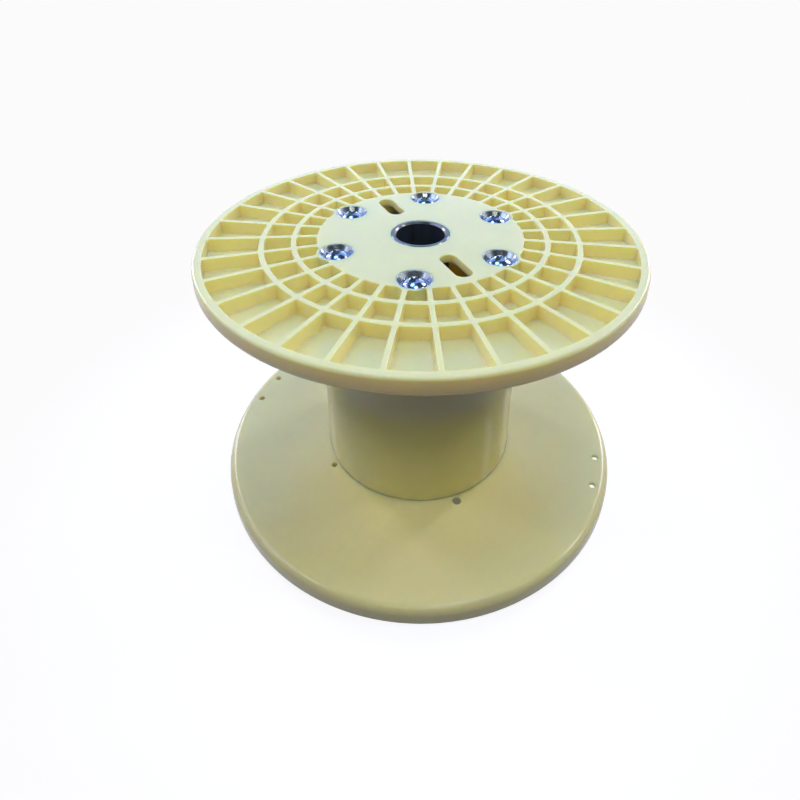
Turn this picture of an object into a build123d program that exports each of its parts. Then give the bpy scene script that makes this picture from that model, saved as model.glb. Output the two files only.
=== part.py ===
"""Reusable plastic wire spool, 500 mm across, bolted together from two ribbed flanges and a barrel.

Millimetres, +Z up along the spool's axis. The origin is on that axis, at the spool's lowest face.
+X runs through the two drive slots. The spool stands on its lower flange.
"""
import os
from math import cos, radians, sin, sqrt, tan

from build123d import *

# Overall sizes
flange_diameter = 500.0
overall_height = 319.0

# Flange: one moulding serves at both ends, its ribbed side outwards
flange_thickness = 22.0
web_thickness = 6.5
rim_wall = 9.5
winding_edge_radius = 9.0
outer_edge_radius = 3.0
rib_count = 32
rib_land = 5.2
ring_wall = 6.0
inner_row_length = 22.8
middle_row_length = 29.0
mould_draft = 1.0
hub_inset = 2.2
hub_plate_thickness = 10.0
register_wall = 5.8
boss_radius = 21.5

# Barrel: the tube that the wire is wound on, its ends in a shallow groove in each flange
barrel_diameter = 240.0
barrel_wall = 6.5
groove_depth = 3.0
groove_gap = 0.2

# Centre tube: steel, right through both flanges, its ends flush with their faces
bore_diameter = 56.0
tube_wall = 6.0
tube_bore_chamfer = 2.0
tube_edge_chamfer = 1.0
tube_gap = 0.1

# Drive slots: two opposite each other, for the driving dogs of a winding machine
slot_length = 49.0
slot_width = 19.0
slot_inset = 7.0
slot_edge_chamfer = 1.2

# Tie bolts: long button-head bolts, each with a sleeve nut at its lower end and cup washers at both
bolt_count = 6
bolt_inset = 12.0
bolt_diameter = 12.0
thread_engagement = 34.0
thread_gap = 0.05
sleeve_diameter = 16.0
sleeve_length = 46.0
sleeve_gap = 0.4
nut_end_wall = 4.0
head_radius = 12.5
head_height = 6.0
head_edge_height = 1.6
head_sink = 0.6
hex_flats = 10.0
hex_depth = 4.0
cup_radius = 18.5
cup_lip = 1.0
cup_seat_radius = 14.0
cup_floor = 2.0
cup_sink = 0.4
cup_gap = 0.2

# Lacing holes for the ends of the wire, through the web of the lower flange only
lacing_hole_diameter = 7.0
large_start_hole_diameter = 10.0
lacing_inset = 16.5
start_hole_margin = 2.5
hole_edge_chamfer = 1.0
hole_countersink = 3.0
lacing_cells = (3, 4, 19, 20)
small_start_cell = 8
large_start_cell = 15

# Places and sizes that follow from the ones above
flange_radius = flange_diameter / 2
barrel_radius = barrel_diameter / 2
barrel_bore_radius = barrel_radius - barrel_wall
groove_floor = flange_thickness - groove_depth
barrel_length = overall_height - 2 * groove_floor
tube_radius = bore_diameter / 2 + tube_wall
hub_radius = barrel_radius - hub_inset
bolt_circle_radius = barrel_bore_radius - bolt_inset
slot_centre_radius = barrel_bore_radius - slot_inset - slot_length / 2
pocket_depth = flange_thickness - web_thickness
pocket_draft = pocket_depth * tan(radians(mould_draft))
core_radius = barrel_bore_radius - groove_gap - register_wall
core_depth = flange_thickness - hub_plate_thickness
core_draft = core_depth * tan(radians(mould_draft))
cell_angle = 360 / rib_count
middle_row_start = hub_radius + inner_row_length + ring_wall
outer_row_start = middle_row_start + middle_row_length + ring_wall
rows = [(hub_radius, middle_row_start - ring_wall),
        (middle_row_start, outer_row_start - ring_wall),
        (outer_row_start, flange_radius - rim_wall)]
bolt_radius = bolt_diameter / 2
sleeve_radius = sleeve_diameter / 2
bolt_hole_radius = sleeve_radius + sleeve_gap
cup_recess_depth = head_sink + head_height + cup_floor
seat_height = head_sink + head_height
bolt_angles = [360 / bolt_count * (step + 0.5) for step in range(bolt_count)]

from_base = (Align.CENTER, Align.CENTER, Align.MIN)


def at_polar(radius, angle):
    """A place at this radius and angle about the spool's axis."""
    return Pos(radius * cos(radians(angle)), radius * sin(radians(angle)), 0)


def cell_middle(cell):
    """Angle of the middle of a numbered cell. Cell 0 starts at the rib on +X."""
    return cell_angle * (cell + 0.5)


def turned(*edges):
    """A solid of revolution about Z from the edges of a closed outline in the XZ plane."""
    return revolve(make_face(Plane.XZ * (Curve() + list(edges))), Axis.Z)


def turned_polygon(*points):
    """A solid of revolution about Z from straight lines through (radius, height) points."""
    return turned(Polyline(*points, close=True))


def pocket_ring(start, end):
    """The ring that one row of pockets lies in, open at z = 0, drafted on both walls."""
    return turned_polygon((start, 0), (end, 0),
                          (end - pocket_draft, pocket_depth), (start + pocket_draft, pocket_depth))


def rib():
    """A straight rib along +X that crosses every row of pockets, thicker at its root by the draft."""
    start = hub_radius - ring_wall
    land = rib_land / 2
    root = land + pocket_draft
    section = Polyline((start, -land, 0), (start, land, 0),
                       (start, root, pocket_depth), (start, -root, pocket_depth), close=True)
    return extrude(make_face(section), flange_radius - start, dir=(1, 0, 0))


def pockets():
    """Every pocket of the open side: three rings, parted into cells by the ribs."""
    ribs = [Rot(0, 0, cell_angle * number) * rib() for number in range(rib_count)]
    return Part() + [pocket_ring(start, end) for start, end in rows] - ribs


def slot_cutter():
    """One drive slot through the hub plate with its mouth chamfered, its length along +X."""
    through = extrude(SlotOverall(slot_length, slot_width), flange_thickness)
    mouth = extrude(SlotOverall(slot_length + 2 * slot_edge_chamfer, slot_width + 2 * slot_edge_chamfer),
                    slot_edge_chamfer, taper=45)
    return Pos(slot_centre_radius, 0, 0) * (through + mouth)


def barrel_groove():
    """The groove in the winding side that the end of the barrel sits in."""
    inner = barrel_bore_radius - groove_gap
    outer = barrel_radius + groove_gap
    return turned_polygon((inner, groove_floor), (outer, groove_floor),
                          (outer, flange_thickness), (inner, flange_thickness))


def hub_core():
    """The hollow in the hub's inner side, inside the barrel, that leaves a plate and the bolts' bosses."""
    hollow = turned_polygon((0, hub_plate_thickness), (core_radius - core_draft, hub_plate_thickness),
                            (core_radius, flange_thickness), (0, flange_thickness))
    boss = Cone(boss_radius + core_draft, boss_radius, core_depth, align=from_base)
    bosses = [at_polar(bolt_circle_radius, angle) * Pos(0, 0, hub_plate_thickness) * boss
              for angle in bolt_angles]
    return hollow - bosses


def hub_cutters():
    """The centre tube's hole, the two drive slots, and the bolt holes with their cup recesses."""
    cutters = [Cylinder(tube_radius + tube_gap, flange_thickness, align=from_base)]
    cutters += [Rot(0, 0, turn) * slot_cutter() for turn in (0, 180)]
    for angle in bolt_angles:
        place = at_polar(bolt_circle_radius, angle)
        cutters.append(place * Cylinder(bolt_hole_radius, flange_thickness, align=from_base))
        cutters.append(place * Cylinder(cup_radius + cup_gap, cup_recess_depth, align=from_base))
    return cutters


def flange():
    """The ribbed flange moulding, its open side down at z = 0 and its winding side up."""
    disc = Cylinder(flange_radius, flange_thickness, align=from_base)
    disc = fillet(disc.edges().sort_by(Axis.Z)[-1], winding_edge_radius)
    disc = fillet(disc.edges().sort_by(Axis.Z)[0], outer_edge_radius)
    bosses = [at_polar(bolt_circle_radius, angle) * Cylinder(boss_radius, pocket_depth, align=from_base)
              for angle in bolt_angles]
    return disc - pockets() + bosses - barrel_groove() - hub_core() - hub_cutters()


def web_hole(diameter, radius, cell):
    """A cutter for a hole through the web, countersunk from the pocket, in the middle of a cell."""
    bore = diameter / 2
    cutter = turned_polygon((0, pocket_depth), (bore + hole_countersink, pocket_depth),
                            (bore, pocket_depth + hole_countersink),
                            (bore, flange_thickness - hole_edge_chamfer),
                            (bore + hole_edge_chamfer, flange_thickness), (0, flange_thickness))
    return at_polar(radius, cell_middle(cell)) * cutter


def lacing_holes():
    """Two pairs of holes near the rim for a full spool's end, and two by the barrel for the start."""
    rim_place = flange_radius - lacing_inset
    small_place = barrel_radius + start_hole_margin + lacing_hole_diameter / 2
    large_place = barrel_radius + start_hole_margin + large_start_hole_diameter / 2
    holes = [web_hole(lacing_hole_diameter, rim_place, cell) for cell in lacing_cells]
    holes.append(web_hole(lacing_hole_diameter, small_place, small_start_cell))
    holes.append(web_hole(large_start_hole_diameter, large_place, large_start_cell))
    return holes


def barrel():
    """The plain tube between the flanges, its ends on the floors of their grooves."""
    return Pos(0, 0, groove_floor) * turned_polygon((barrel_bore_radius, 0), (barrel_radius, 0),
                                                    (barrel_radius, barrel_length),
                                                    (barrel_bore_radius, barrel_length))


def centre_tube():
    """The steel tube, its ends chamfered inside for the pintle and a little outside."""
    bore = bore_diameter / 2
    top = overall_height
    return turned_polygon((bore + tube_bore_chamfer, 0), (tube_radius - tube_edge_chamfer, 0),
                          (tube_radius, tube_edge_chamfer), (tube_radius, top - tube_edge_chamfer),
                          (tube_radius - tube_edge_chamfer, top), (bore + tube_bore_chamfer, top),
                          (bore, top - tube_bore_chamfer), (bore, tube_bore_chamfer))


def button_head():
    """A domed head with a hex socket, its seat at z = 0 and its crown up."""
    drop = head_height - head_edge_height
    dome_radius = (head_radius ** 2 + drop ** 2) / (2 * drop)
    middle = head_radius / 2
    middle_height = head_height - dome_radius + sqrt(dome_radius ** 2 - middle ** 2)
    head = turned(Line((0, 0), (head_radius, 0)),
                  Line((head_radius, 0), (head_radius, head_edge_height)),
                  ThreePointArc((head_radius, head_edge_height), (middle, middle_height), (0, head_height)),
                  Line((0, head_height), (0, 0)))
    socket = extrude(RegularPolygon(hex_flats / 2, 6, major_radius=False), hex_depth)
    return head - Pos(0, 0, head_height - hex_depth) * socket


def tie_bolt():
    """A long bolt, head up, its seat at z = 0 and its shank down into the sleeve nut."""
    seat_to_seat = overall_height - 2 * seat_height
    shank_length = seat_to_seat - sleeve_length + thread_engagement
    shank = Pos(0, 0, -shank_length) * Cylinder(bolt_radius, shank_length, align=from_base)
    return button_head() + shank


def sleeve_nut():
    """A button head with a long threaded sleeve, its seat at z = 0 and its sleeve down."""
    bore_depth = sleeve_length + head_height - hex_depth - nut_end_wall
    sleeve = Pos(0, 0, -sleeve_length) * Cylinder(sleeve_radius, sleeve_length, align=from_base)
    bore = Pos(0, 0, -sleeve_length) * Cylinder(bolt_radius + thread_gap, bore_depth, align=from_base)
    return button_head() + sleeve - bore


def cup_washer():
    """A dished washer that lines a bolt's recess, its base at z = 0 and its lip up."""
    height = cup_recess_depth - cup_sink
    return turned_polygon((bolt_hole_radius, 0), (cup_radius, 0), (cup_radius, height),
                          (cup_radius - cup_lip, height), (cup_seat_radius, cup_floor),
                          (bolt_hole_radius, cup_floor))


def upper_end(height):
    """The frame of a piece that faces up, this far below the spool's top face."""
    return Pos(0, 0, overall_height - height)


def lower_end(height):
    """The same frame turned over, this far above the spool's base."""
    return Pos(0, 0, height) * Rot(180, 0, 0)


def pieces():
    """Every piece of the spool by its name."""
    moulding = flange()
    named = {"lower_flange": moulding - lacing_holes(),
             "upper_flange": upper_end(0) * Rot(180, 0, 0) * moulding,
             "barrel": barrel(),
             "centre_tube": centre_tube()}
    bolt = tie_bolt()
    nut = sleeve_nut()
    washer = cup_washer()
    for number, angle in enumerate(bolt_angles, 1):
        place = at_polar(bolt_circle_radius, angle)
        named[f"tie_bolt_{number}"] = place * upper_end(seat_height) * bolt
        named[f"sleeve_nut_{number}"] = place * lower_end(seat_height) * nut
        named[f"upper_cup_washer_{number}"] = place * upper_end(cup_recess_depth) * washer
        named[f"lower_cup_washer_{number}"] = place * lower_end(cup_recess_depth) * washer
    return named


os.makedirs("parts", exist_ok=True)
for name, solid in pieces().items():
    export_step(solid, f"parts/{name}.step")
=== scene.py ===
"""A reusable plastic wire spool, dressed: ribbed cream flanges, a barrel, a steel tube and zinc bolts.

Metres, +Z up along the spool's axis, with the origin in the middle of its lowest face.
"""
from math import asin, cos, pi, radians, sin, sqrt, tan

import bmesh
import bpy
from mathutils import Matrix, Vector
from mathutils.geometry import area_tri, delaunay_2d_cdt


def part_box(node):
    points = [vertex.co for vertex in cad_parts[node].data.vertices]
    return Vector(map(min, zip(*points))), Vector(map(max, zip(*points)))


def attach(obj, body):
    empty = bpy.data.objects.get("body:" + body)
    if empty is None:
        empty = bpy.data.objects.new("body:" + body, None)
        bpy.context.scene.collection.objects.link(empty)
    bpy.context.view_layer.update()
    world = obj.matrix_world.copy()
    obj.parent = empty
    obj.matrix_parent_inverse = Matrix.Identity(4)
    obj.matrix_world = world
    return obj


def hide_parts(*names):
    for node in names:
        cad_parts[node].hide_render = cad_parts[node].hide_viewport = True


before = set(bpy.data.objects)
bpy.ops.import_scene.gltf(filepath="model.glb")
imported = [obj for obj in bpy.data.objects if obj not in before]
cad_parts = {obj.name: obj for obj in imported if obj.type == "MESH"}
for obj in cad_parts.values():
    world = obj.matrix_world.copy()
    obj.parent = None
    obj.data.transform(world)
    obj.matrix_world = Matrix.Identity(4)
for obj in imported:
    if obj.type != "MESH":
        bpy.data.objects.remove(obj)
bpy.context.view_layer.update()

mm = 0.001

# Flange mouldings
# Two like injection mouldings in natural cream ABS, one at each end, their ribbed sides outwards.
# Thirty-two ribs and two rings part the open side into shallow pockets with drafted walls, and the
# solid hub plate carries the bolts, the drive slots and the steel tube.
flange_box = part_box("lower_flange")
flange_radius = flange_box[1].x
flange_thickness = flange_box[1].z - flange_box[0].z
spool_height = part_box("upper_flange")[1].z
barrel_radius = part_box("barrel")[1].x
tube_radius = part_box("centre_tube")[1].x

rib_count = 32
rib_land = 5.2 * mm
ring_wall = 6.0 * mm
rim_wall = 9.5 * mm
inner_row_length = 22.8 * mm
middle_row_length = 29.0 * mm
web_thickness = 6.5 * mm
mould_draft = radians(1.0)
winding_edge_radius = 9.0 * mm
outer_edge_radius = 3.0 * mm
hub_inset = 2.2 * mm
hub_land = 1.2 * mm
hub_plate_thickness = 10.0 * mm
register_wall = 5.8 * mm
boss_radius = 21.5 * mm
land_rounding = 0.7 * mm
floor_fillet = 1.6 * mm
pocket_corner = 2.2 * mm
rounding_steps = 3

barrel_wall = 6.5 * mm
groove_depth = 3.0 * mm
groove_gap = 0.2 * mm
groove_seam = 0.03 * mm

bolt_count = 6
bolt_circle_radius = barrel_radius - barrel_wall - 12.0 * mm
bolt_hole_radius = 8.4 * mm
recess_radius = 18.7 * mm
recess_depth = 8.6 * mm
recess_rounding = 0.5 * mm
tube_hole_radius = tube_radius + 0.1 * mm

slot_centre_radius = 82.0 * mm
slot_half_length = 24.5 * mm
slot_half_width = 9.5 * mm
slot_rounding = 1.2 * mm

lacing_radius = 3.5 * mm
large_start_radius = 5.0 * mm
rim_lacing_place = flange_radius - 16.5 * mm
start_margin = 2.5 * mm
hole_chamfer = 1.0 * mm
wide_countersink = 2.8 * mm
narrow_countersink = 0.8 * mm
hole_cell_fillet = 0.2 * mm
circle_steps = 48
side_steps = 8
outer_edge_steps = 5
winding_edge_steps = 9
sliver_area = (0.01 * mm) ** 2
plan_tolerance = 1e-9
weld_distance = 0.001 * mm
plastic_crease = radians(35)

hub_radius = barrel_radius - hub_inset
pocket_depth = flange_thickness - web_thickness
core_depth = flange_thickness - hub_plate_thickness
groove_inner = barrel_radius - barrel_wall - groove_gap
groove_outer = barrel_radius + groove_seam
half_cell = pi / rib_count
middle_row_start = hub_radius + inner_row_length + ring_wall
outer_row_start = middle_row_start + middle_row_length + ring_wall
rows = [(hub_radius, middle_row_start - ring_wall),
        (middle_row_start, outer_row_start - ring_wall),
        (outer_row_start, flange_radius - rim_wall)]
land_radii = [None, middle_row_start - ring_wall / 2, outer_row_start - ring_wall / 2,
              flange_radius - outer_edge_radius]
bolt_angles = [2 * pi / bolt_count * (number + 0.5) for number in range(bolt_count)]
small_start_place = barrel_radius + start_margin + lacing_radius
large_start_place = barrel_radius + start_margin + large_start_radius
lacing_holes = {(2, cell): (rim_lacing_place, lacing_radius, wide_countersink) for cell in (3, 4, 19, 20)}
lacing_holes[0, 8] = (small_start_place, lacing_radius, narrow_countersink)
lacing_holes[0, 15] = (large_start_place, large_start_radius, wide_countersink)


def polar(radius, angle):
    """A place in plan, this far from the spool's axis at this angle."""
    return radius * cos(angle), radius * sin(angle)


def loop(shape, outline, height):
    """New vertices of a mesh along an outline in plan, all at one height."""
    return [shape.verts.new((x, y, height)) for x, y in outline]


def band(shape, first, second):
    """The strip of faces between two closed loops of as many vertices."""
    for number in range(len(first)):
        after = (number + 1) % len(first)
        shape.faces.new((first[number], first[after], second[after], second[number]))


def cap(shape, outline, *holes):
    """A flat face inside an outline, less the holes in it."""
    if not holes:
        shape.faces.new(outline)
        return
    loops = (outline, *holes)
    corners = [vertex for ring in loops for vertex in ring]
    edges = []
    for ring in loops:
        start = len(edges)
        edges += [(start + number, start + (number + 1) % len(ring)) for number in range(len(ring))]
    plan = [Vector(vertex.co[:2]) for vertex in corners]
    flat, _, triangles, origins, _, _ = delaunay_2d_cdt(plan, edges, [], 0, plan_tolerance)
    for triangle in triangles:
        if area_tri(*(flat[number] for number in triangle)) < sliver_area:
            continue
        middle = sum((flat[number] for number in triangle), Vector((0, 0))) / 3
        crossings = 0
        for start, end in edges:
            low, high = plan[start], plan[end]
            if (low.y > middle.y) != (high.y > middle.y):
                share = (middle.y - low.y) / (high.y - low.y)
                crossings += middle.x < low.x + share * (high.x - low.x)
        if crossings % 2:
            shape.faces.new([corners[origins[number][0]] for number in triangle])


def rounding(radius, steps=rounding_steps):
    """Quarter-round steps: how far inside the edge and how far below the face each one lies."""
    turns = [pi / 2 * step / steps for step in range(steps + 1)]
    return [(radius * (1 - sin(turn)), radius * (1 - cos(turn))) for turn in turns]


def hub_edge(angle):
    """Radius of the hub plate's edge, which swells round each bolt's boss."""
    reach = hub_radius
    for bolt_angle in bolt_angles:
        along = bolt_circle_radius * cos(angle - bolt_angle)
        across = bolt_circle_radius * sin(angle - bolt_angle)
        if along > 0 and abs(across) < boss_radius:
            reach = max(reach, along + sqrt(boss_radius ** 2 - across ** 2))
    return reach


def core_edge(angle):
    """Radius of the hollow in the hub's inner side, which leaves each bolt's boss standing."""
    reach = groove_inner - register_wall
    for bolt_angle in bolt_angles:
        along = bolt_circle_radius * cos(angle - bolt_angle)
        across = bolt_circle_radius * sin(angle - bolt_angle)
        if along > 0 and abs(across) < boss_radius:
            reach = min(reach, along - sqrt(boss_radius ** 2 - across ** 2))
    return reach


def land_outline(row, middle):
    """The middle line of the ribs and rings round one pocket, in the order of pocket_outline."""
    points = []
    for number in range(4 * side_steps):
        side, step = divmod(number, side_steps)
        share = step / side_steps
        turn = (2 * share - 1, 1, 1 - 2 * share, -1)[side] * half_cell
        angle = middle + turn
        start = land_radii[row] or hub_edge(angle) - hub_land
        radius = start + (land_radii[row + 1] - start) * (0, share, 1, 1 - share)[side]
        points.append(polar(radius, angle))
    return points


def pocket_outline(row, middle, inset):
    """One pocket's outline this far inside its mouth, its corners rounded."""
    corner = max(pocket_corner - inset, floor_fillet / 2)
    quarter = side_steps // 4
    end = rows[row][1] - inset

    def turn_of(radius, offset):
        return half_cell - asin((rib_land / 2 + inset + offset) / radius)

    def start_of(angle):
        return (rows[row][0] if row else hub_edge(angle)) + inset

    points = []
    for number in range(4 * side_steps):
        side, step = divmod(number, side_steps)
        start = start_of(middle + (half_cell if side < 2 else -half_cell))
        width = 2 * turn_of((start, start, end, end)[side], 0) * (start, start, end, end)[side]
        length = width if side in (0, 2) else end - start
        far = step > side_steps - quarter
        steps_in = side_steps - step if far else step
        if steps_in < quarter:
            slope = pi / 4 * (1 - steps_in / quarter)
            along, offset = corner * (1 - sin(slope)), corner * (1 - cos(slope))
        else:
            along, offset = corner, 0
            if not far:
                along += (length - 2 * corner) * (step - quarter) / (side_steps - 2 * quarter)
        if far:
            along = length - along
        if side in (0, 2):
            share = 2 * along / length - 1
            angle = middle + (share if side == 0 else -share) * half_cell
            radius = start_of(angle) + offset if side == 0 else end - offset
            angle = middle + (share if side == 0 else -share) * turn_of(radius, 0)
        else:
            radius = start + along if side == 1 else end - along
            angle = middle + (turn_of(radius, offset) if side == 1 else -turn_of(radius, offset))
        points.append(polar(radius, angle))
    return points


def circle_outline(radius, centre=(0, 0), steps=circle_steps):
    """A circle in plan."""
    places = [polar(radius, 2 * pi * number / steps) for number in range(steps)]
    return [(centre[0] + x, centre[1] + y) for x, y in places]


def slot_outline(offset, side):
    """One drive slot's outline, this much wider all round, on the +X side or the -X side."""
    radius = slot_half_width + offset
    straight = slot_half_length - slot_half_width
    points = []
    for number in range(circle_steps):
        turn = 2 * pi * (number + 0.5) / circle_steps - pi / 2
        shift = straight if number < circle_steps / 2 else -straight
        points.append((side * slot_centre_radius + shift + radius * cos(turn), radius * sin(turn)))
    return points


def pocket(shape, row, cell, fillet):
    """One pocket with its land round it. Gives the edge of its floor, which is left open."""
    middle = half_cell * (2 * cell + 1)
    lean = (pocket_depth - fillet) * tan(mould_draft)
    steps = [(-inset, height) for inset, height in rounding(land_rounding)]
    steps += [(lean + drop, pocket_depth - inset) for inset, drop in rounding(fillet)]
    last = loop(shape, land_outline(row, middle), 0)
    for inset, height in steps:
        new = loop(shape, pocket_outline(row, middle, inset), height)
        band(shape, last, new)
        last = new
    return last


def web_hole(shape, place, radius, countersink, middle):
    """A lacing hole's wall. Gives its rims in the pocket's floor and in the winding face."""
    profile = [(radius + countersink, pocket_depth), (radius, pocket_depth + countersink),
               (radius, flange_thickness - hole_chamfer), (radius + hole_chamfer, flange_thickness)]
    rings = [loop(shape, circle_outline(size, polar(place, middle)), height) for size, height in profile]
    for first, second in zip(rings, rings[1:]):
        band(shape, first, second)
    return rings[0], rings[-1]


def through_hole(shape, outline_of, profile):
    """The wall of a hole through the hub plate. Gives its rims in the open and in the inner face."""
    rings = [loop(shape, outline_of(offset), height) for offset, height in profile]
    for first, second in zip(rings, rings[1:]):
        band(shape, first, second)
    return rings[0], rings[-1]


def flange_shape(holes):
    """A flange moulding with its open side down at z = 0, and these lacing holes in its web."""
    shape = bmesh.new()
    winding_rims = []
    for row in range(len(rows)):
        for cell in range(rib_count):
            floor = pocket(shape, row, cell, hole_cell_fillet if (row, cell) in holes else floor_fillet)
            if (row, cell) in holes:
                rim, winding_rim = web_hole(shape, *holes[row, cell], half_cell * (2 * cell + 1))
                cap(shape, floor, rim)
                winding_rims.append(winding_rim)
            else:
                cap(shape, floor)

    open_rims, plate_rims, boss_rims = [], [], []
    for side in (1, -1):
        rims = through_hole(shape, lambda offset: slot_outline(offset, side),
                            rounding(slot_rounding) + [(0, hub_plate_thickness)])
        open_rims.append(rims[0])
        plate_rims.append(rims[1])
    for angle in bolt_angles:
        centre = polar(bolt_circle_radius, angle)
        step_in = bolt_hole_radius - recess_radius
        profile = rounding(recess_rounding) + [(0, recess_depth), (step_in, recess_depth),
                                               (step_in, flange_thickness)]
        rims = through_hole(shape, lambda offset: circle_outline(recess_radius + offset, centre), profile)
        open_rims.append(rims[0])
        boss_rims.append(rims[1])
    rims = through_hole(shape, lambda offset: circle_outline(tube_hole_radius + offset),
                        rounding(recess_rounding) + [(0, hub_plate_thickness)])
    open_rims.append(rims[0])
    plate_rims.append(rims[1])

    turns = [half_cell * 2 * number / side_steps for number in range(rib_count * side_steps)]
    hub_rim = loop(shape, [polar(hub_edge(turn) - hub_land, turn) for turn in turns], 0)
    cap(shape, hub_rim, *open_rims)

    open_edge = rounding(outer_edge_radius, outer_edge_steps)
    winding_edge = rounding(winding_edge_radius, winding_edge_steps)
    profile = [(flange_radius - inset, height) for inset, height in open_edge]
    profile += [(flange_radius - inset, flange_thickness - drop) for inset, drop in reversed(winding_edge)]
    rings = [loop(shape, [polar(radius, turn) for turn in turns], height) for radius, height in profile]
    for first, second in zip(rings, rings[1:]):
        band(shape, first, second)

    groove_floor = flange_thickness - groove_depth
    groove = [(groove_outer, flange_thickness), (groove_outer, groove_floor),
              (groove_inner, groove_floor), (groove_inner, flange_thickness)]
    groove_rings = [loop(shape, [polar(radius, turn) for turn in turns], level) for radius, level in groove]
    for first, second in zip(groove_rings, groove_rings[1:]):
        band(shape, first, second)
    cap(shape, rings[-1], groove_rings[0], *winding_rims)
    core_draft = core_depth * tan(mould_draft)
    core_rim = loop(shape, [polar(core_edge(turn), turn) for turn in turns], flange_thickness)
    core_floor = loop(shape, [polar(core_edge(turn) - core_draft, turn) for turn in turns],
                      hub_plate_thickness)
    band(shape, core_rim, core_floor)
    cap(shape, groove_rings[-1], core_rim, *boss_rims)
    cap(shape, core_floor, *plate_rims)
    bmesh.ops.remove_doubles(shape, verts=shape.verts, dist=weld_distance)
    return shape


def piece(name, shape, place, material, slot, sharp, *nodes):
    """A mesh object from a shape at its place, smooth but for sharp edges, that stands for CAD nodes."""
    bmesh.ops.recalc_face_normals(shape, faces=shape.faces)
    mesh = bpy.data.meshes.new(name)
    shape.to_mesh(mesh)
    shape.free()
    mesh.transform(place)
    mesh.shade_smooth()
    mesh.set_sharp_from_angle(angle=sharp)
    mesh.materials.append(material)
    made = bpy.data.objects.new(name, mesh)
    bpy.context.scene.collection.objects.link(made)
    weighted = made.modifiers.new("even_normals", "WEIGHTED_NORMAL")
    weighted.keep_sharp = True
    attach(made, "root")
    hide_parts(*nodes)
    return made


def linear(hex_colour):
    """An sRGB hex colour as the linear values that shaders take."""
    parts = [int(hex_colour[start:start + 2], 16) / 255 for start in (1, 3, 5)]
    return [part / 12.92 if part <= 0.04045 else ((part + 0.055) / 1.055) ** 2.4 for part in parts] + [1]


def node(tree, kind, links=(), **settings):
    """A new shader node. Links are (input, socket) pairs, and settings are properties or input values."""
    made = tree.nodes.new(kind)
    for name, value in settings.items():
        if name in made.bl_rna.properties:
            setattr(made, name, value)
        else:
            made.inputs[name.replace("_", " ")].default_value = value
    for name, socket in links:
        tree.links.new(socket, made.inputs[name])
    return made


def new_material(name):
    """An empty material's node tree with its output node."""
    material = bpy.data.materials.new(name)
    material.use_nodes = True
    material.node_tree.nodes.clear()
    return material, material.node_tree, material.node_tree.nodes.new("ShaderNodeOutputMaterial")


flow_width = 60 * mm
ripple_width = 26 * mm
ripple_height = 0.25 * mm
grain_width = 0.9 * mm
gloss_spread = 0.04
glow_depth = 12 * mm


def moulded_abs(name, colour, shade, gloss, grain_height):
    """Natural ABS as moulded: cream, a little see-through in thin walls, with a soft satin gloss.

    Light enters and leaves some millimetres away, yellower, so thin ribs and edges glow. Wide flow marks
    change the tone and the gloss a little, and shallow ripples bend the highlights. The mould's grain is
    drawn about four times as coarse as the real one, so that it shows.
    """
    material, tree, output = new_material(name)
    place = node(tree, "ShaderNodeTexCoord")
    flow = node(tree, "ShaderNodeTexNoise", [("Vector", place.outputs["Object"])],
                Scale=1 / flow_width, Detail=3.0, Roughness=0.55)
    tone = node(tree, "ShaderNodeMix", [("Factor", flow.outputs["Fac"])], data_type="RGBA")
    tone.inputs["A"].default_value = linear(shade)
    tone.inputs["B"].default_value = linear(colour)
    grain = node(tree, "ShaderNodeTexNoise", [("Vector", place.outputs["Object"])],
                 Scale=1 / grain_width, Detail=2.0)
    ripple = node(tree, "ShaderNodeTexNoise", [("Vector", place.outputs["Object"])],
                  Scale=1 / ripple_width, Detail=1.0)
    ripple_bump = node(tree, "ShaderNodeBump", [("Height", ripple.outputs["Fac"])],
                       Strength=0.35, Distance=ripple_height)
    bump = node(tree, "ShaderNodeBump",
                [("Height", grain.outputs["Fac"]), ("Normal", ripple_bump.outputs[0])],
                Strength=0.5, Distance=grain_height)
    polish = node(tree, "ShaderNodeMapRange", [("Value", flow.outputs["Fac"])],
                  To_Min=gloss - gloss_spread, To_Max=gloss + gloss_spread)
    skin = node(tree, "ShaderNodeBsdfPrincipled",
                [("Base Color", tone.outputs["Result"]), ("Normal", bump.outputs[0]),
                 ("Roughness", polish.outputs[0])],
                IOR=1.53, Subsurface_Weight=1.0, Subsurface_Radius=(1.0, 0.76, 0.17),
                Subsurface_Scale=glow_depth)
    tree.links.new(skin.outputs[0], output.inputs["Surface"])
    return material


flange_abs = moulded_abs("abs_natural_moulded", "#F2E6AA", "#EBDE9E", 0.225, 0.02 * mm)
standing = Matrix.Identity(4)
turned_over = Matrix.Translation((0, 0, spool_height)) @ Matrix.Rotation(pi, 4, "X")
piece("lower_flange_moulding", flange_shape(lacing_holes), standing, flange_abs, "flange_plastic",
      plastic_crease, "lower_flange")
piece("upper_flange_moulding", flange_shape({}), turned_over, flange_abs, "flange_plastic",
      plastic_crease, "upper_flange")

# Barrel
# A plain tube of the same natural ABS that the wire is wound on, smoother than the flanges.
# Its ends sit in a shallow groove in each flange and are clamped there by the tie bolts.
barrel_abs = moulded_abs("abs_natural_barrel", "#F2E6A6", "#EBDE9A", 0.17, 0.008 * mm)
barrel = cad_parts["barrel"]
barrel.data.materials.clear()
barrel.data.materials.append(barrel_abs)
barrel.data.shade_smooth()
barrel.data.set_sharp_from_angle(angle=plastic_crease)

# Centre tube
# A welded steel tube right through the spool, faced and chamfered in a lathe at both ends.
# Its faced ends are bright with fine turning marks, and its bore is dark with mill scale and oil.
tube_bore_radius = 28.0 * mm
bore_edge = 0.2 * mm
bore_edge_fade = 0.3 * mm
scale_streak_width = 4 * mm
turning_pitch = 0.5 * mm
turning_depth = 0.01 * mm
tube_crease = radians(35)


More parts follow.
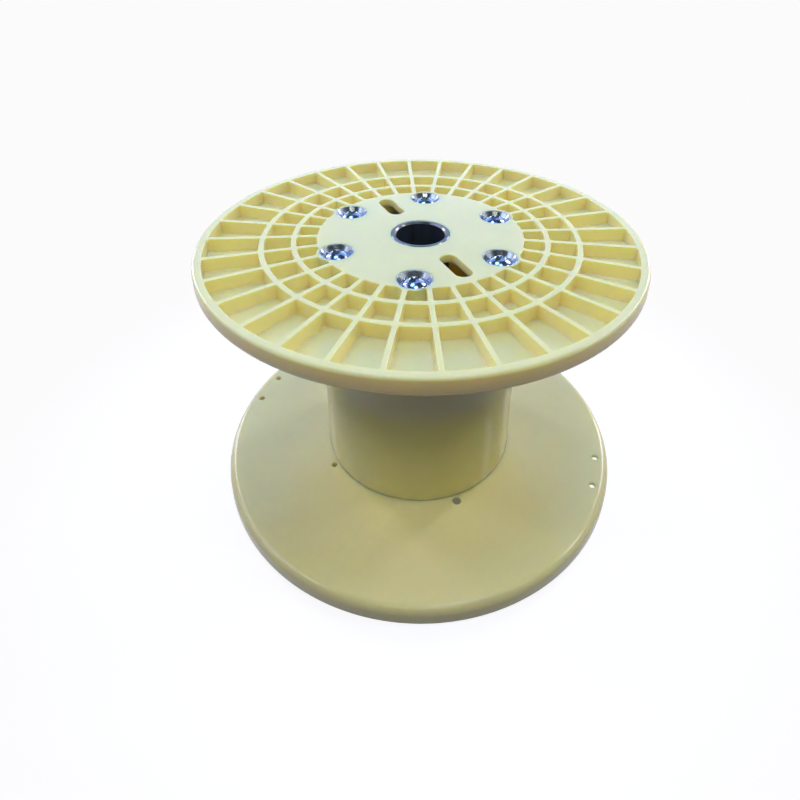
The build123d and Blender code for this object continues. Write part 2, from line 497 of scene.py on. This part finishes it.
def turned_steel():
    """Low-carbon steel: mill scale makes the bore dark and dull, and the faced ends shine in rings.

    The rings are drawn about twice as wide as a lathe's feed, so that they show.
    """
    material, tree, output = new_material("steel_tube_faced")
    place = node(tree, "ShaderNodeTexCoord")
    split = node(tree, "ShaderNodeSeparateXYZ", [("Vector", place.outputs["Object"])])
    flat = node(tree, "ShaderNodeCombineXYZ", [("X", split.outputs["X"]), ("Y", split.outputs["Y"])])
    radius = node(tree, "ShaderNodeVectorMath", [(0, flat.outputs[0])], operation="LENGTH")
    in_bore = node(tree, "ShaderNodeMapRange", [("Value", radius.outputs["Value"])],
                   From_Min=tube_bore_radius + bore_edge,
                   From_Max=tube_bore_radius + bore_edge + bore_edge_fade)
    streaks_place = node(tree, "ShaderNodeMapping", [("Vector", place.outputs["Object"])],
                         Scale=(1, 1, 0.02))
    streaks = node(tree, "ShaderNodeTexNoise", [("Vector", streaks_place.outputs[0])],
                   Scale=1 / scale_streak_width, Detail=3.0)
    scale_tone = node(tree, "ShaderNodeMix", [("Factor", streaks.outputs["Fac"])], data_type="RGBA")
    scale_tone.inputs["A"].default_value = linear("#1C2129")
    scale_tone.inputs["B"].default_value = linear("#3E4552")
    tone = node(tree, "ShaderNodeMix",
                [("Factor", in_bore.outputs[0]), ("A", scale_tone.outputs["Result"])], data_type="RGBA")
    tone.inputs["B"].default_value = linear("#7C7976")
    marks = node(tree, "ShaderNodeMath", [(0, radius.outputs["Value"])], operation="MULTIPLY")
    marks.inputs[1].default_value = 2 * pi / turning_pitch
    ridges = node(tree, "ShaderNodeMath", [(0, marks.outputs[0])], operation="SINE")
    bump = node(tree, "ShaderNodeBump", [("Height", ridges.outputs[0])],
                Strength=0.4, Distance=turning_depth)
    rough = node(tree, "ShaderNodeMapRange", [("Value", in_bore.outputs[0])], To_Min=0.34, To_Max=0.22)
    skin = node(tree, "ShaderNodeBsdfPrincipled",
                [("Base Color", tone.outputs["Result"]), ("Normal", bump.outputs[0]),
                 ("Roughness", rough.outputs[0]), ("Metallic", in_bore.outputs[0])])
    tree.links.new(skin.outputs[0], output.inputs["Surface"])
    return material


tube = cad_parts["centre_tube"]
tube.data.materials.clear()
tube.data.materials.append(turned_steel())
tube.data.shade_smooth()
tube.data.set_sharp_from_angle(angle=tube_crease)

# Tie bolts and sleeve nuts
# Six long M12 steel bolts with low button heads and hex sockets, each screwed into a sleeve nut with
# the same head from below. They are cold-headed and plated with bright blue-white zinc.
bolt_radius = 6.0 * mm
sleeve_radius = 8.0 * mm
sleeve_length = 46.0 * mm
thread_engagement = 34.0 * mm
head_radius = 12.5 * mm
head_height = 6.0 * mm
head_edge_height = 1.6 * mm
head_sink = 0.6 * mm
head_rounding = 0.35 * mm
hex_half_flats = 5.0 * mm
hex_depth = 4.0 * mm
hex_chamfer = 0.6 * mm
bolt_end_chamfer = 1.0 * mm
sleeve_end_chamfer = 0.5 * mm
dome_steps = 8
head_crease = radians(40)
cloud_width = 7 * mm
pit_width = 1.2 * mm
pit_depth = 0.02 * mm


def zinc_plate():
    """Bright zinc with a clear blue passivate: cool, mirror-like, faintly clouded by handling.

    The plating's pits are drawn coarser than real ones, so that the highlights break up a little.
    """
    material, tree, output = new_material("zinc_blue_passivated")
    place = node(tree, "ShaderNodeTexCoord")
    cloud = node(tree, "ShaderNodeTexNoise", [("Vector", place.outputs["Object"])],
                 Scale=1 / cloud_width, Detail=4.0)
    tone = node(tree, "ShaderNodeMix", [("Factor", cloud.outputs["Fac"])], data_type="RGBA")
    tone.inputs["A"].default_value = linear("#98A4B4")
    tone.inputs["B"].default_value = linear("#BAC4D0")
    rough = node(tree, "ShaderNodeMapRange", [("Value", cloud.outputs["Fac"])], To_Min=0.12, To_Max=0.25)
    pits = node(tree, "ShaderNodeTexNoise", [("Vector", place.outputs["Object"])],
                Scale=1 / pit_width, Detail=2.0)
    bump = node(tree, "ShaderNodeBump", [("Height", pits.outputs["Fac"])], Strength=0.4, Distance=pit_depth)
    skin = node(tree, "ShaderNodeBsdfPrincipled",
                [("Base Color", tone.outputs["Result"]), ("Normal", bump.outputs[0]),
                 ("Roughness", rough.outputs[0])], Metallic=1.0)
    tree.links.new(skin.outputs[0], output.inputs["Surface"])
    return material


def hexagon_outline():
    """The socket's hexagon with as many points as a circle, in the circle's order."""
    points = []
    for number in range(circle_steps):
        turn = 2 * pi * number / circle_steps
        to_flat = (turn + pi / 6) % (pi / 3) - pi / 6
        points.append(polar(hex_half_flats / cos(to_flat), turn))
    return points


def headed_shape(tail):
    """A button head with a hex socket, its seat at z = 0, over a tail of (radius, height) points."""
    shape = bmesh.new()
    drop = head_height - head_edge_height
    dome_radius = (head_radius ** 2 + drop ** 2) / (2 * drop)
    dome_centre = head_height - dome_radius
    socket_rim = hex_half_flats / cos(pi / 6) + hex_chamfer
    profile = tail + [(head_radius - head_rounding, 0), (head_radius, head_rounding),
                      (head_radius, head_edge_height - head_rounding)]
    for step in range(dome_steps + 1):
        radius = head_radius - head_rounding / 2 - (head_radius - socket_rim) * step / dome_steps
        profile.append((radius, dome_centre + sqrt(dome_radius ** 2 - radius ** 2)))
    rings = [loop(shape, circle_outline(radius), height) for radius, height in profile]
    rim_height = profile[-1][1]
    rings.append(loop(shape, hexagon_outline(), rim_height - hex_chamfer))
    rings.append(loop(shape, hexagon_outline(), head_height - hex_depth))
    for first, second in zip(rings, rings[1:]):
        band(shape, first, second)
    cap(shape, rings[-1])
    cap(shape, rings[0])
    return shape


zinc = zinc_plate()
seat_height = head_sink + head_height
shank_length = spool_height - 2 * seat_height - sleeve_length + thread_engagement
bolt_tail = [(bolt_radius - bolt_end_chamfer, -shank_length),
             (bolt_radius, bolt_end_chamfer - shank_length), (bolt_radius, 0)]
thread_end = thread_engagement - sleeve_length - bolt_end_chamfer
sleeve_tail = [(bolt_radius, thread_end), (bolt_radius, -sleeve_length),
               (sleeve_radius - sleeve_end_chamfer, -sleeve_length),
               (sleeve_radius, sleeve_end_chamfer - sleeve_length), (sleeve_radius, 0)]
for number, angle in enumerate(bolt_angles, 1):
    spot = Matrix.Translation((*polar(bolt_circle_radius, angle), 0))
    top_seat = spot @ Matrix.Translation((0, 0, spool_height - seat_height))
    low_seat = spot @ Matrix.Translation((0, 0, seat_height)) @ Matrix.Rotation(pi, 4, "X")
    piece(f"bolt_{number}", headed_shape(bolt_tail), top_seat @ Matrix.Rotation(number, 4, "Z"), zinc,
          "zinc_plated_steel", head_crease, f"tie_bolt_{number}")
    piece(f"nut_{number}", headed_shape(sleeve_tail), low_seat @ Matrix.Rotation(2 * number, 4, "Z"), zinc,
          "zinc_plated_steel", head_crease, f"sleeve_nut_{number}")

# Cup washers
# A pressed steel cup washer lines each bolt's recess, at both ends of the spool, its lip just under
# the face. It spreads the bolt's load on the plastic and is zinc plated like the bolts.
cup_radius = 18.5 * mm
cup_lip = 1.0 * mm
cup_seat_radius = 14.0 * mm
cup_floor = 2.0 * mm
cup_sink = 0.4 * mm
cup_crease = radians(50)


def cup_shape():
    """A cup washer with its base at z = 0: a flat seat, a dished side and a rolled lip."""
    shape = bmesh.new()
    height = recess_depth - cup_sink
    profile = [(bolt_hole_radius, 0), (cup_radius, 0)]
    profile += [(cup_radius - inset, height - drop) for inset, drop in reversed(rounding(cup_lip / 2))]
    profile += [(cup_radius - cup_lip + inset, height - drop) for inset, drop in rounding(cup_lip / 2)][1:]
    reach = cup_radius - cup_lip - cup_seat_radius
    rise = height - cup_lip / 2 - cup_floor
    for step in range(1, dome_steps):
        share = step / dome_steps
        profile.append((cup_radius - cup_lip - reach * share, cup_floor + rise * (1 - share)))
    profile += [(cup_seat_radius, cup_floor), (bolt_hole_radius, cup_floor)]
    rings = [loop(shape, circle_outline(radius), level) for radius, level in profile]
    for first, second in zip(rings, rings[1:] + rings[:1]):
        band(shape, first, second)
    return shape


for number, angle in enumerate(bolt_angles, 1):
    spot = Matrix.Translation((*polar(bolt_circle_radius, angle), 0))
    top_floor = spot @ Matrix.Translation((0, 0, spool_height - recess_depth))
    low_floor = spot @ Matrix.Translation((0, 0, recess_depth)) @ Matrix.Rotation(pi, 4, "X")
    piece(f"upper_cup_{number}", cup_shape(), top_floor, zinc, "zinc_plated_steel", cup_crease,
          f"upper_cup_washer_{number}")
    piece(f"lower_cup_{number}", cup_shape(), low_floor, zinc, "zinc_plated_steel", cup_crease,
          f"lower_cup_washer_{number}")

# Floor and backdrop
# A white light table with a low white wall round it. Both show white to the eye and in reflections, and
# the table takes the spool's soft shadow round its foot. Right under the spool the table is painted
# light instead: plain white with no shadow, so the lacing holes show white. What light they throw back
# is dim, so the lamps light the spool.
stage_radius = 6.0
stage_steps = 64
wall_height = 3.0
shadow_reach = 0.6
table_glow = 0.86
table_white = "#FCFBFC"
shade_reflectance = "#8A8A8A"
bounce_reflectance = "#404040"


def lit_acrylic():
    """White to the eye and in reflections, with a faint shadow round the spool's foot. Under the spool it
    is painted light: plain white with no shadow.
    """
    material, tree, output = new_material("lit_white_acrylic")
    place = node(tree, "ShaderNodeTexCoord")
    reach = node(tree, "ShaderNodeVectorMath", [(0, place.outputs["Object"])], operation="LENGTH")
    away = node(tree, "ShaderNodeMapRange", [("Value", reach.outputs["Value"])],
                interpolation_type="SMOOTHSTEP", From_Min=flange_radius, From_Max=shadow_reach)
    # Painted light: under the spool the table shows plain white to the eye and in reflections, with no
    # shadow.
    painted_light_under_spool = node(tree, "ShaderNodeMath", [(0, reach.outputs["Value"])], operation="LESS_THAN")
    painted_light_under_spool.inputs[1].default_value = flange_radius - winding_edge_radius
    backdrop_or_painted_light = node(tree, "ShaderNodeMath", [(0, away.outputs[0]), (1, painted_light_under_spool.outputs[0])], operation="MAXIMUM")
    glow = node(tree, "ShaderNodeEmission", Color=linear(table_white))
    dim_glow = node(tree, "ShaderNodeEmission", Color=linear(table_white), Strength=table_glow)
    shade = node(tree, "ShaderNodeBsdfDiffuse", Color=linear(shade_reflectance))
    shaded = node(tree, "ShaderNodeAddShader", [(0, dim_glow.outputs[0]), (1, shade.outputs[0])])
    seen = node(tree, "ShaderNodeMixShader",
                [(0, backdrop_or_painted_light.outputs[0]), (1, shaded.outputs[0]), (2, glow.outputs[0])])
    bounce = node(tree, "ShaderNodeBsdfDiffuse", Color=linear(bounce_reflectance))
    path = node(tree, "ShaderNodeLightPath")
    mirrored = node(tree, "ShaderNodeMath", [(0, path.outputs["Is Glossy Ray"]),
                                             (1, path.outputs["Is Transmission Ray"])], operation="MAXIMUM")
    direct = node(tree, "ShaderNodeMath", [(0, path.outputs["Is Camera Ray"]), (1, mirrored.outputs[0])],
                  operation="MAXIMUM")
    mixed = node(tree, "ShaderNodeMixShader",
                 [(0, direct.outputs[0]), (1, bounce.outputs[0]), (2, seen.outputs[0])])
    tree.links.new(mixed.outputs[0], output.inputs["Surface"])
    return material


stage_shape = bmesh.new()
foot = loop(stage_shape, circle_outline(stage_radius, steps=stage_steps), 0)
brim = loop(stage_shape, circle_outline(stage_radius, steps=stage_steps), wall_height)
stage_shape.faces.new(foot)
band(stage_shape, foot, brim)
stage_mesh = bpy.data.meshes.new("stage")
stage_shape.to_mesh(stage_mesh)
stage_shape.free()
stage_mesh.materials.append(lit_acrylic())
stage = bpy.data.objects.new("stage", stage_mesh)
bpy.context.scene.collection.objects.link(stage)

# Camera
# At the photograph's viewing angle, close above the upper flange and looking about 27 degrees down. Its
# place and axes come from a fit to both flanges' outlines, the bolts, the bore and the lacing holes.
camera_place = Vector((-0.54266, 0.27455, 0.62733))
camera_right = Vector((-0.438773, -0.898593, 0.002989))
camera_up = Vector((0.40458, -0.19458, 0.893562))
camera_back = Vector((-0.802367, 0.39328, 0.448929))
camera_data = bpy.data.cameras.new("camera")
camera_data.sensor_width = 36.0
camera_data.lens = 26.709
camera_data.shift_x = -0.01718
camera_data.shift_y = -0.21162
camera = bpy.data.objects.new("camera", camera_data)
camera.matrix_world = Matrix.Translation(camera_place) @ Matrix(
    (camera_right, camera_up, camera_back)).transposed().to_4x4()
bpy.context.scene.collection.objects.link(camera)
bpy.context.scene.camera = camera

# Light
# Cool daylight from a window behind the spool, from the left and from two skylights, warmer room light
# from the camera's side, and two tall strips that draw the streaks down the barrel's sides. Small hall
# lamps draw the glints on the metal and on the rounded rims.
middle_height = spool_height / 2
lamp_distance = 2.2
view_turn = radians(153.9)


def panel(name, turn, rise, width, height, power, colour):
    """A panel lamp aimed at the spool. Turn is its azimuth from the camera's side, rise its elevation."""
    lamp = bpy.data.lights.new(name, "AREA")
    lamp.shape = "RECTANGLE"
    lamp.size = width
    lamp.size_y = height
    lamp.energy = power
    lamp.color = linear(colour)[:3]
    made = bpy.data.objects.new(name, lamp)
    azimuth = view_turn + radians(turn)
    level = cos(radians(rise))
    aim = Vector((cos(azimuth) * level, sin(azimuth) * level, sin(radians(rise))))
    made.location = Vector((0, 0, middle_height)) + aim * lamp_distance
    made.rotation_mode = "QUATERNION"
    made.rotation_quaternion = aim.to_track_quat("Z", "Y")
    bpy.context.scene.collection.objects.link(made)


panel("window", 180, 36, 2.5, 1.5, 18, "#7CB8FF")
panel("strip_right", 130, 25, 0.4, 1.5, 20, "#EEE8FF")
panel("strip_left", 230, 25, 0.4, 1.5, 17, "#EEE8FF")
panel("side_left", 270, 40, 1.6, 1.2, 16, "#BCC8FF")
panel("room", 0, 50, 1.2, 0.35, 8.5, "#F6F8DA")
panel("skylight_right", 45, 78, 0.5, 0.5, 10.5, "#98BEFA")
panel("skylight_left", 225, 78, 0.5, 0.5, 10.5, "#98BEFA")
panel("hall_lamp_right", 62, 50, 0.15, 0.15, 2.8, "#F6F8E4")
panel("hall_lamp_left", 298, 50, 0.15, 0.15, 2.8, "#F6F8E4")
panel("hall_lamp_far", 92, 41, 0.25, 0.25, 7, "#EEF2FF")

world = bpy.data.worlds.new("studio")
world.use_nodes = True
bpy.context.scene.world = world
world.node_tree.nodes.clear()
dusk = node(world.node_tree, "ShaderNodeBackground", Color=linear("#A4B4D0"), Strength=0.1)
node(world.node_tree, "ShaderNodeOutputWorld", [("Surface", dusk.outputs[0])])

bpy.context.scene.view_settings.view_transform = "Standard"
